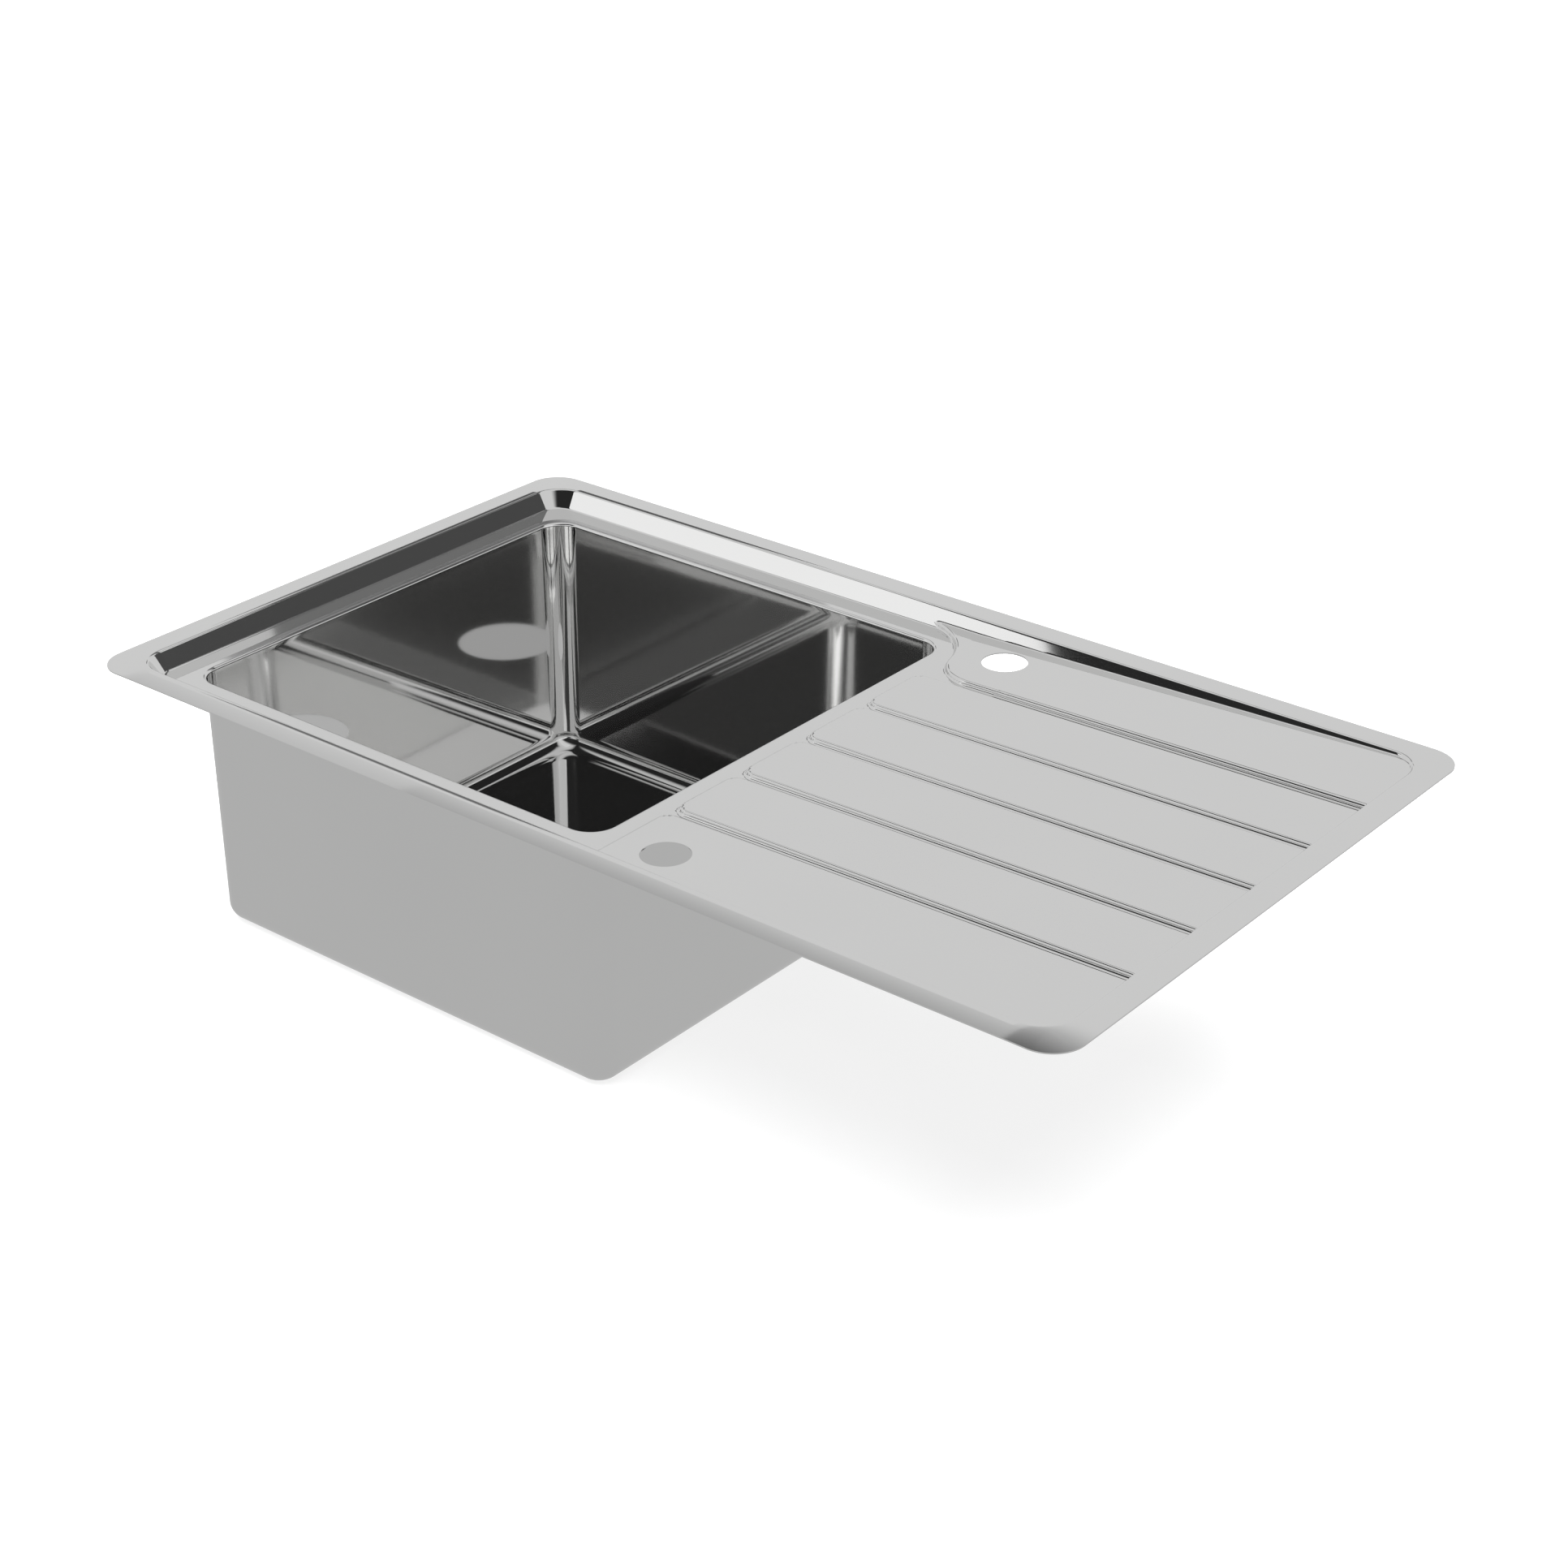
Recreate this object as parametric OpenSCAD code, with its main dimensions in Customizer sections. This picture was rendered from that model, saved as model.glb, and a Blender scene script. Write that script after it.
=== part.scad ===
// Inset kitchen sink in pressed steel: one deep bowl on the left, a grooved
// drainboard on the right, a foam seal under the rim and swing-out fixing clips.
// Modules draw in the rim's frame: x from the left edge, y from the front edge
// and z = 0 at the top of the rim. in_place() moves that to the bowl's base.

/* [Deck] */
// Length of the sink along its long edge
deck_l = 860; // [820:10:1000]
// Width from the front edge to the back edge
deck_w = 500; // [480:10:560]
// Radius of the outer corners in plan
deck_r = 25; // [12:1:32]
// Thickness of the steel sheet
sheet_t = 1; // [0.8:0.1:1.3]
// Width of the flat rim, from the outer edge to the crest of the recess
rim_w = 21; // [18:1:28]
// Radius of the recess's corners at the crest, in plan
recess_r = 25; // [20:1:32]
// Depth of the ledge below the rim
recess_d = 14; // [11:1:16]
// Steepness of the recess's wall, in degrees from level
wall_a = 57; // [50:1:66]
// Radius of the bend at the crest of the recess
crest_r = 2; // [1.6:0.1:3]
// Radius of the bend at the foot of the recess's wall
foot_r = 2; // [1:0.5:4]

/* [Bowl] */
// Overall height from the bowl's base to the top of the rim
sink_h = 220; // [180:5:240]
// Width of the ledge left of the bowl, between the recess's wall and the lip
ledge_side = 18.9; // [18:0.1:24]
// Width of the ledge before and behind the bowl
ledge_end = 19.9; // [18:0.1:24]
// Width of the ledge between the bowl and the drainboard
ledge_mid = 18.5; // [12:0.5:26]
// Length of the bowl's opening, lip to lip
open_l = 403; // [360:1:440]
// Plan radius of the opening's corners at the lip
open_r = 22.5; // [21:0.5:45]
// Radius of the lip round the opening
lip_r = 2.5; // [1.8:0.1:4]
// Straight collar under the lip that the bowl is welded to
collar_h = 3; // [2:0.5:6]
// Lean of the bowl's walls, in degrees
draft_a = 0.7; // [0:0.1:1.5]
// Inside radius between the bowl's walls and its floor
floor_r = 14; // [8:1:15]
// Diameter of the waste hole
waste_d = 90; // [60:5:115]
// Distance of the waste hole behind the bowl's middle
waste_back = 63; // [0:1:75]

/* [Drainboard] */
// Height of the drainboard's left end above the ledge
riser_h = 4.3; // [3:0.1:5.5]
// Depth of the drainboard's right end below the rim
end_d = 2.1; // [1.5:0.1:4]
// Number of drain grooves
groove_n = 5; // [2:1:5]
// Distance between grooves
groove_pitch = 71; // [60:1:72]
// Width of a groove
groove_w = 10.8; // [8:0.2:14]
// Depth of a groove
groove_d = 4; // [3:0.1:4.2]
// Radius of a groove's bottom corners
groove_r = 3; // [1.5:0.5:3]
// Plan radius of the drainboard's corners where a groove runs out
mouth_r = 8; // [3:0.5:12]
// Radius of the hollow curve where the drainboard sweeps to the back wall
sweep_hollow_r = 62.5; // [50:0.5:66]
// Radius of the rounded corner between that sweep and the last groove
sweep_corner_r = 37.5; // [25:0.5:38]
// Steepest heading of the sweep, in degrees from the long edge
sweep_a = 76; // [60:1:82]
// Diameter of the tap holes
tap_d = 35; // [30:0.5:38]
// Distance of the tap holes from the drainboard's left end
tap_in = 38.5; // [34:0.5:44]
// Distance of the tap holes from the front and back edges
tap_edge = 57; // [54:1:64]

/* [Seal and pads] */
// Width of the foam strip under the rim
seal_w = 10; // [6:1:12]
// Thickness of the foam strip
seal_t = 2; // [1:0.5:3]
// Setback of the foam strip from the rim's edge
seal_in = 4; // [2:0.5:5]
// Thickness of the sound-deadening pads
pad_t = 3; // [2:0.5:4]
// Length of each bowl pad along the wall
pad_l = 180; // [100:10:240]
// Height of each bowl pad
pad_h = 100; // [60:10:120]
// Length of the pad under the drainboard
drain_pad_l = 200; // [100:10:230]
// Width of the pad under the drainboard, between two grooves
drain_pad_w = 40; // [20:2:46]

/* [Fixing clips] */
// Distance of the clip screws from the rim's edge
clip_in = 41.5; // [41:0.1:42]
// Length of a clip bracket along the edge
bracket_l = 24; // [20:1:28]
// Depth of a clip bracket across the edge
bracket_w = 14; // [12:0.5:14]
// Thickness of the bracket's steel
bracket_t = 1.5; // [1.2:0.1:2]
// Depth of the bracket's lower plate below the rim
bracket_z = 24.5; // [24:0.1:27]
// Diameter of the clip screw's shank
screw_d = 4.9; // [4:0.1:5]
// Diameter of the screw's head
head_d = 7.8; // [7:0.1:9]
// Thickness of the screw's head
head_h = 1.8; // [1.5:0.1:3]
// Outer diameter of the washer
washer_d = 10; // [8.5:0.5:12]
// Thickness of the washer
washer_t = 0.6; // [0.5:0.1:1]
// Reach of the claw from the screw's axis to its tip
claw_reach = 38; // [30:1:39]
// Width of the claw at the screw
claw_w = 14; // [12:0.5:14]
// Width of the claw's tip
claw_tip_w = 7; // [5:0.5:10]
// Thickness of the claw
claw_t = 1.6; // [1.2:0.1:2.2]
// Step down from the claw's hub to its tip
claw_step = 2.8; // [1:0.1:4]

/* [Hidden] */
$fn = 96;
over = 1;                 // overrun of every cut
snap_steps = 1000;        // derived places are rounded to this part of a millimetre
nudge = 0.1;              // keeps a round corner from only touching a straight one
run_gap = 0.1;            // radial gap of the screw in its collar
turn_gap = 0.3;           // gap of what swings round the screw
face_gap = 0.2;           // gap between the clip's stacked pieces
end_gap = 0.3;            // gap of the screw's end and of small seats
bend_steps = 4;           // flats in a bend of the sheet
floor_steps = 8;          // flats in the bowl's bottom bend
slot_w = 1.2;             // drive slot in the screw's head
slot_d = 1;
claw_tooth_h = 1.2;       // biting edge at the claw's tip
claw_tooth_l = 1.2;
collar_wall = 1.4;        // wall of the bracket's threaded collar
collar_rise = 3;          // height of that collar over the plate
weld_flange = 5;          // foot of the bracket's legs on the deck
pad_r = 6;                // corners of the pads
pad_drop = 40;            // top of the bowl pads below the collar
drain_pad_gap = 100;      // drainboard pad from the drainboard's left end
side_clip_share = 0.5;    // place of the end clips along the short edges
long_clip_shares = [0.135, 0.435, 0.84];

function snap(v) = round(v * snap_steps) / snap_steps;
function snapped(pts) = [for (p = pts) [snap(p[0]), snap(p[1])]];

run_w = snap(recess_d / tan(wall_a));            // plan width of the recess's wall
crest_in = snap(rim_w - crest_r * tan(wall_a / 2));  // where the flat rim ends
foot_in = snap(rim_w + run_w + foot_r * tan(wall_a / 2));
recess_c = rim_w + recess_r;                     // corner centres of the recess
open_x = rim_w + run_w + ledge_side;             // opening's lip, left
open_y = rim_w + run_w + ledge_end;              // opening's lip, front
open_w = deck_w - 2 * open_y;
collar_z = -recess_d - lip_r - collar_h;         // weld line of the bowl
bowl_mx = open_x + open_l / 2;
riser_x = open_x + open_l + ledge_mid;           // drainboard's left end
board_end = deck_l - rim_w;
fall_a = atan((recess_d - riser_h - end_d) / (board_end - riser_x));
first_groove = deck_w / 2 + (groove_n - 1) / 2 * groove_pitch;
sweep_y = first_groove + groove_w / 2;           // back edge of the last groove
corner_x = snap(riser_x + sweep_corner_r * sin(sweep_a));
corner_y = sweep_y + sweep_corner_r;
hollow_x = snap(corner_x - (sweep_corner_r + sweep_hollow_r) * sin(sweep_a));
hollow_y = snap(corner_y - (sweep_corner_r + sweep_hollow_r) * cos(sweep_a));
claw_top = -bracket_z - face_gap;
washer_top = claw_top - claw_t - face_gap;
head_top = washer_top - washer_t - face_gap;

// Clip sites: screw's place, and the turn that faces the clip outwards
clip_sites = concat(
    [for (s = long_clip_shares) [s * deck_l, clip_in, 0]],
    [for (s = long_clip_shares) [s * deck_l, deck_w - clip_in, 180]],
    [[clip_in, side_clip_share * deck_w, 270],
     [deck_l - clip_in, deck_w / 2 + groove_pitch / 2, 90]]);
clip_parts = ["clip_bracket_", "clip_screw_", "clip_washer_", "clip_claw_"];

// Underside of the deck above a point: the ledge, or the sloping drainboard
function board_z(x) = -recess_d + riser_h + (x - riser_x) * tan(fall_a);
function deck_under(x) = (x < riser_x ? -recess_d : board_z(x)) - sheet_t / cos(fall_a);

// Points of an arc round [cx, cz] from angle a0 to a1, in n flats
function arc(cx, cz, r, a0, a1, n) =
    [for (i = [0 : n]) let (a = a0 + (a1 - a0) * i / n) [cx + r * cos(a), cz + r * sin(a)]];

// Section of the recess from the rim inwards. k is 0 for the sheet's upper
// face and the sheet's thickness for its lower face.
function recess_section(k) = snapped(concat(
    [[recess_c, k > 0 ? 0 : over], [crest_in, k > 0 ? 0 : over]],
    arc(crest_in, -crest_r, crest_r - k, 90, 90 - wall_a, bend_steps),
    arc(foot_in, foot_r - recess_d, foot_r + k, 270 - wall_a, 270, bend_steps),
    [[recess_c, -recess_d - k]]));

// Section of the lip that turns down into the bowl
function lip_section(k) = snapped(concat(
    [[open_r, -recess_d + (k > 0 ? 0 : over)], [0, -recess_d + (k > 0 ? 0 : over)]],
    arc(0, -recess_d - lip_r, lip_r - k, 90, 0, bend_steps),
    [[lip_r - k, collar_z - (k > 0 ? 0 : over)], [open_r, collar_z - (k > 0 ? 0 : over)]]));

// Section of the bowl: leaning wall, bottom bend and floor
function lean(z) = lip_r + (collar_z - z) * tan(draft_a);
function bend_z() = -sink_h + sheet_t + floor_r;
function bend_in() = lean(bend_z()) + floor_r / cos(draft_a);
function bowl_section(k) =
    let (top = collar_z + (k > 0 ? 0 : over))
    snapped(concat(
        [[open_r, top], [lean(top) - k / cos(draft_a), top]],
        arc(bend_in(), bend_z(), floor_r + k, 180 + draft_a, 270, floor_steps),
        [[open_r, -sink_h + sheet_t - k]]));

// Solid over an l x w rectangle whose edge has the given section. The section
// runs from the edge inwards to c, where the corners have their centres.
module pan(l, w, c, pts) {
    far = [for (i = [len(pts) - 1 : -1 : 0]) [w - pts[i][0], pts[i][1]]];
    translate([c, 0, 0])
        rotate([90, 0, 90])
            linear_extrude(height = l - 2 * c) polygon(concat(pts, far));
    for (side = [0, 1])
        translate([side * l, side * w, 0])
            rotate([0, 0, side * 180]) {
                translate([0, w - c, 0])
                    rotate([90, 0, 0])
                        linear_extrude(height = w - 2 * c) polygon(pts);
                translate([c, c, 0])
                    rotate([0, 0, 180]) quarter(c, pts);
                translate([c, w - c, 0])
                    rotate([0, 0, 90]) quarter(c, pts);
            }
}

module quarter(c, pts) {
    rotate_extrude(angle = 90) polygon([for (p = pts) [c - p[0], p[1]]]);
}

module rounded(l, w, r) {
    translate([r, 0]) square([l - 2 * r, w]);
    translate([0, r]) square([l, w - 2 * r]);
    for (x = [r, l - r], y = [r, w - r])
        translate([x, y]) circle(r);
}

// Moves the rim's frame so that the base of the bowl is at z = 0, centred
module in_place() {
    translate([-deck_l / 2, -deck_w / 2, sink_h]) children();
}

// Frame whose xy plane is the drainboard's sloping face
module on_board() {
    translate([riser_x, 0, -recess_d + riser_h])
        rotate([0, -fall_a, 0]) children();
}

// Plan of the raised drainboard. k moves its edge inwards for the lower face.
module board_plan(k) {
    translate([riser_x + k, -over])
        square([deck_l, sweep_y + over]);
    translate([corner_x, sweep_y + k])
        square([deck_l, deck_w]);
    translate([corner_x, corner_y]) circle(sweep_corner_r - k);
    difference() {
        polygon([
            [hollow_x, hollow_y], [corner_x, corner_y],
            [corner_x, deck_w], [hollow_x, deck_w]]);
        translate([hollow_x, hollow_y]) circle(sweep_hollow_r + k);
    }
}

// Everything under the drainboard's face, inside its plan
module board_body(k) {
    intersection() {
        translate([0, 0, -2 * recess_d])
            linear_extrude(height = 3 * recess_d) difference() {
                board_plan(k);
                mouths(k);
            }
        on_board()
            translate([-deck_l, -over, -4 * recess_d - k])
                cube([3 * deck_l, deck_w + 2 * over, 4 * recess_d]);
    }
}

// Rounded plan corners where the grooves run out onto the ledge
module mouths(k) {
    for (i = [0 : groove_n - 1], side = [-1, 1])
        if (i > 0 || side < 0)
            translate([riser_x, first_groove - i * groove_pitch + side * groove_w / 2])
                mirror([0, side < 0 ? 1 : 0])
                    difference() {
                        translate([-over, -nudge])
                            square([mouth_r + over, mouth_r + nudge]);
                        translate([mouth_r, mouth_r - nudge]) circle(mouth_r - k);
                    }
}

// Groove section, open upwards: flat floor with rounded corners
module groove_section(k) {
    r = groove_r + k;
    half = groove_w / 2 + k;
    translate([-half, -groove_d - k + r]) square([2 * half, groove_d + k - r + over]);
    translate([-half + r, -groove_d - k]) square([2 * (half - r), groove_d + k]);
    for (side = [-1, 1])
        translate([side * (half - r), -groove_d - k + r]) circle(r);
}

module grooves(k) {
    for (i = [0 : groove_n - 1])
        on_board()
            translate([0, first_groove - i * groove_pitch, 0])
                rotate([90, 0, 90])
                    linear_extrude(height = (board_end - riser_x) / cos(fall_a) + k)
                        groove_section(k);
}

// The recess, with the raised drainboard left standing and its grooves cut
module hollow(k) {
    difference() {
        pan(deck_l, deck_w, recess_c, recess_section(k));
        board_body(k);
    }
    intersection() {
        grooves(k);
        translate([rim_w, rim_w, -2 * recess_d])
            cube([deck_l - 2 * rim_w + k, deck_w - 2 * rim_w,
                  2 * recess_d + (k > 0 ? 0 : over)]);
    }
}

module deck() {
    color("silver") in_place()
        difference() {
            union() {
                translate([0, 0, -sheet_t])
                    linear_extrude(height = sheet_t) rounded(deck_l, deck_w, deck_r);
                hollow(sheet_t);
                translate([open_x, open_y, 0])
                    pan(open_l, open_w, open_r, lip_section(sheet_t));
            }
            hollow(0);
            translate([open_x, open_y, 0])
                pan(open_l, open_w, open_r, lip_section(0));
            for (y = [tap_edge, deck_w - tap_edge])
                on_board()
                    translate([tap_in, y, -2 * sheet_t])
                        cylinder(d = tap_d, h = 4 * sheet_t);
        }
}

module bowl() {
    color("silver") in_place()
        difference() {
            translate([open_x, open_y, 0])
                pan(open_l, open_w, open_r, bowl_section(sheet_t));
            translate([open_x, open_y, 0])
                pan(open_l, open_w, open_r, bowl_section(0));
            translate([bowl_mx, deck_w / 2 + waste_back, -sink_h - over])
                cylinder(d = waste_d, h = sheet_t + 2 * over);
        }
}

module rim_seal() {
    seal_r = deck_r - seal_in;
    color("dimgray") in_place()
        translate([seal_in, seal_in, -sheet_t - seal_t])
            linear_extrude(height = seal_t) difference() {
                rounded(deck_l - 2 * seal_in, deck_w - 2 * seal_in, seal_r);
                translate([seal_w, seal_w])
                    rounded(deck_l - 2 * (seal_in + seal_w),
                            deck_w - 2 * (seal_in + seal_w), max(seal_r - seal_w, over));
            }
}

// Pad stood on its long side with its back on the plane x = 0
module pad(l, h) {
    rotate([90, 0, -90])
        linear_extrude(height = pad_t)
            translate([-l / 2, -h]) rounded(l, h, pad_r);
}

module pad_left() {
    color("slategray") in_place()
        translate([open_x + lip_r - sheet_t / cos(draft_a), deck_w / 2, collar_z])
            rotate([0, -draft_a, 0])
                translate([0, 0, -pad_drop]) pad(pad_l, pad_h);
}

module pad_back() {
    color("slategray") in_place()
        translate([bowl_mx, deck_w - open_y - lip_r + sheet_t / cos(draft_a), collar_z])
            rotate([0, 0, -90])
                rotate([0, -draft_a, 0])
                    translate([0, 0, -pad_drop]) pad(pad_l, pad_h);
}

module pad_drainboard() {
    color("slategray") in_place()
        on_board()
            translate([drain_pad_gap, deck_w / 2 - groove_pitch / 2 - drain_pad_w / 2,
                       -sheet_t - pad_t])
                linear_extrude(height = pad_t) rounded(drain_pad_l, drain_pad_w, pad_r);
}

// Frame at a clip's screw: y runs inwards, x along the edge, z from the rim
module at_clip(i) {
    in_place()
        translate([clip_sites[i - 1][0], clip_sites[i - 1][1], 0])
            rotate([0, 0, clip_sites[i - 1][2]]) children();
}

// Bent strip welded under the deck, with the threaded collar for the screw
module clip_bracket(i) {
    rise = bracket_z + 2 * recess_d;
    color("gainsboro") difference() {
        at_clip(i) {
            translate([-bracket_l / 2, -bracket_w / 2, -bracket_z])
                cube([bracket_l, bracket_w, bracket_t]);
            translate([0, 0, -bracket_z])
                cylinder(d = screw_d + 2 * (run_gap + collar_wall),
                         h = bracket_t + collar_rise);
            for (side = [-1, 1])
                translate([side * (bracket_l - bracket_t) / 2 - bracket_t / 2,
                           -bracket_w / 2, -bracket_z])
                    cube([bracket_t, bracket_w, rise]);
            bracket_feet(i);
        }
        at_clip(i)
            translate([0, 0, -bracket_z - over])
                cylinder(d = screw_d + 2 * run_gap, h = bracket_t + collar_rise + 2 * over);
        above_deck_underside(i);
    }
}

// Feet that turn inwards under the deck, on the deck's own slope
module bracket_feet(i) {
    under = deck_under(clip_sites[i - 1][0]);
    for (side = [-1, 1])
        translate([side * (bracket_l / 2 - weld_flange / 2) - weld_flange / 2,
                   -bracket_w / 2, under - bracket_t])
            cube([weld_flange, bracket_w, 2 * bracket_t]);
}

// Everything over the underside of the deck at a clip
module above_deck_underside(i) {
    x = clip_sites[i - 1][0];
    in_place()
        translate([x, clip_sites[i - 1][1], deck_under(x)])
            rotate([0, x < riser_x ? 0 : -fall_a, 0])
                translate([-2 * bracket_l, -2 * bracket_l, 0])
                    cube([4 * bracket_l, 4 * bracket_l, 4 * recess_d]);
}

module clip_screw(i) {
    tip = -recess_d - sheet_t - end_gap;
    color("lightgray") at_clip(i)
        difference() {
            union() {
                translate([0, 0, head_top]) cylinder(d = screw_d, h = tip - head_top);
                translate([0, 0, head_top - head_h]) cylinder(d = head_d, h = head_h);
            }
            translate([-head_d, -slot_w / 2, head_top - head_h - over])
                cube([2 * head_d, slot_w, slot_d + over]);
        }
}

module clip_washer(i) {
    color("lightgray") at_clip(i)
        translate([0, 0, washer_top - washer_t])
            difference() {
                cylinder(d = washer_d, h = washer_t);
                translate([0, 0, -over])
                    cylinder(d = screw_d + 2 * run_gap, h = washer_t + 2 * over);
            }
}

// Cranked claw, parked along the edge: hub, tapering arm, step and toothed tip
module clip_claw(i) {
    crank = claw_w / 2 + claw_step;
    tip_half = claw_tip_w / 2;
    color("gainsboro") at_clip(i)
        translate([0, 0, claw_top - claw_t])
            difference() {
                union() {
                    cylinder(d = claw_w, h = claw_t);
                    linear_extrude(height = claw_t)
                        polygon([[0, -claw_w / 2], [crank, -tip_half],
                                 [crank, tip_half], [0, claw_w / 2]]);
                    rotate([90, 0, 0])
                        linear_extrude(height = claw_tip_w, center = true)
                            polygon([
                                [crank - claw_t, 0], [crank, 0],
                                [crank + claw_step, -claw_step],
                                [claw_reach, -claw_step],
                                [claw_reach, claw_t - claw_step + claw_tooth_h],
                                [claw_reach - claw_tooth_l, claw_t - claw_step],
                                [crank + claw_step + claw_t / 2, claw_t - claw_step],
                                [crank + claw_t / 2, claw_t],
                                [crank - claw_t, claw_t]]);
                }
                translate([0, 0, -over])
                    cylinder(d = screw_d + 2 * turn_gap, h = claw_t + 2 * over);
            }
}

deck();
bowl();
rim_seal();
pad_left();
pad_back();
pad_drainboard();
for (i = [1 : len(clip_sites)]) {
    clip_bracket(i);
    clip_screw(i);
    clip_washer(i);
    clip_claw(i);
}
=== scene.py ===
import math
import bmesh
import bpy
import numpy as np
from mathutils import Matrix, Vector


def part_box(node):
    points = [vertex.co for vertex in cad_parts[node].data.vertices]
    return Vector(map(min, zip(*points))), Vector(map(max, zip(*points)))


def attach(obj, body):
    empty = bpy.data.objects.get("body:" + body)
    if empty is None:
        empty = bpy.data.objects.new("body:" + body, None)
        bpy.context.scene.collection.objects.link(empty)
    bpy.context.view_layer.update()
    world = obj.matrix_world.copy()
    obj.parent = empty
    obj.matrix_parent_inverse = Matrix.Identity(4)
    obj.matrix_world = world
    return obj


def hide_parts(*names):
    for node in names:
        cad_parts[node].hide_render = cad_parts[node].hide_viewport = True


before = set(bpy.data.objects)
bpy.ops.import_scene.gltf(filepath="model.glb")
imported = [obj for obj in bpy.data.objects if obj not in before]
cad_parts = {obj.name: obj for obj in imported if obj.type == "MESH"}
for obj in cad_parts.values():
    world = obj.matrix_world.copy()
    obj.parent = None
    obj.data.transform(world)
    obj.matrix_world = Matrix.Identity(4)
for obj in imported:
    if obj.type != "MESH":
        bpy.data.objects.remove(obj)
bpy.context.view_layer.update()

mm = 0.001
deckLow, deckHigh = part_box("deck")
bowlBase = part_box("bowl")[0][2]
length = (deckHigh[0] - deckLow[0]) / mm  # along the long edge
width = (deckHigh[1] - deckLow[1]) / mm  # front edge to back edge
height = (deckHigh[2] - bowlBase) / mm  # base of the bowl to the top of the rim


def fromRim(x, y, z):
    # millimetres from the rim's front left corner to metres in the frame
    return Vector((deckLow[0] + x * mm, deckLow[1] + y * mm, deckHigh[2] + z * mm))


# Camera: where the photograph was taken from, in the rim's millimetres

viewpoint = {
    "place": (1643.3, -1229.1, 925.9),
    "turn": 38.82,  # degrees to the left of straight back
    "tilt": 27.26,  # degrees down
    "roll": 0.17,
    "lens": 68.24,
    "sensor": 36.0,
    "clip": (0.05, 60.0),  # metres
}


def makeCamera(shot):
    data = bpy.data.cameras.new("camera")
    data.lens = shot["lens"]
    data.sensor_width = shot["sensor"]
    data.sensor_fit = "HORIZONTAL"
    data.clip_start, data.clip_end = shot["clip"]
    camera = bpy.data.objects.new("camera", data)
    turn, tilt, roll = (math.radians(shot[k]) for k in ("turn", "tilt", "roll"))
    ahead = Vector((-math.sin(turn) * math.cos(tilt), math.cos(turn) * math.cos(tilt),
                    -math.sin(tilt)))
    level = Vector((math.cos(turn), math.sin(turn), 0))
    right = level * math.cos(roll) + level.cross(ahead) * math.sin(roll)
    up = right.cross(ahead)
    matrix = Matrix((right, up, -ahead)).transposed().to_4x4()
    matrix.translation = fromRim(*shot["place"])
    camera.matrix_world = matrix
    bpy.context.scene.collection.objects.link(camera)
    bpy.context.scene.camera = camera


makeCamera(viewpoint)
print("camera placed")

# Materials


def newMaterial(name):
    material = bpy.data.materials.new(name)
    material.use_nodes = True
    nodes = material.node_tree.nodes
    shader = nodes["Principled BSDF"]
    return material, nodes, material.node_tree.links, shader


steelLook = {
    "colour": (0.76, 0.76, 0.756, 1),
    "roughLow": 0.03,
    "roughHigh": 0.05,
    "cloudScale": 9.0,  # slow change of polish over the sheet
    "cloudDetail": 3.0,
    "dullShare": 0.975,  # the duller tone, as a share of the colour
}


def polishedSteel(look):
    material, nodes, links, shader = newMaterial("polishedSteel")
    shader.inputs["Metallic"].default_value = 1.0
    shader.inputs["Base Color"].default_value = look["colour"]
    coords = nodes.new("ShaderNodeTexCoord")
    cloud = nodes.new("ShaderNodeTexNoise")
    cloud.inputs["Scale"].default_value = look["cloudScale"]
    cloud.inputs["Detail"].default_value = look["cloudDetail"]
    links.new(coords.outputs["Object"], cloud.inputs["Vector"])
    rough = nodes.new("ShaderNodeMapRange")
    rough.inputs["To Min"].default_value = look["roughLow"]
    rough.inputs["To Max"].default_value = look["roughHigh"]
    links.new(cloud.outputs["Fac"], rough.inputs["Value"])
    links.new(rough.outputs["Result"], shader.inputs["Roughness"])
    tone = nodes.new("ShaderNodeMix")
    tone.data_type = "RGBA"
    tone.inputs["A"].default_value = look["colour"]
    dull = tuple(c * look["dullShare"] for c in look["colour"][:3])
    tone.inputs["B"].default_value = dull + (1,)
    links.new(cloud.outputs["Fac"], tone.inputs["Factor"])
    links.new(tone.outputs["Result"], shader.inputs["Base Color"])
    return material


steel = polishedSteel(steelLook)

# Deck: one pressed sheet. Its upper face is a height over the plan, and the
# lower face lies one sheet's thickness under it.

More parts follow.
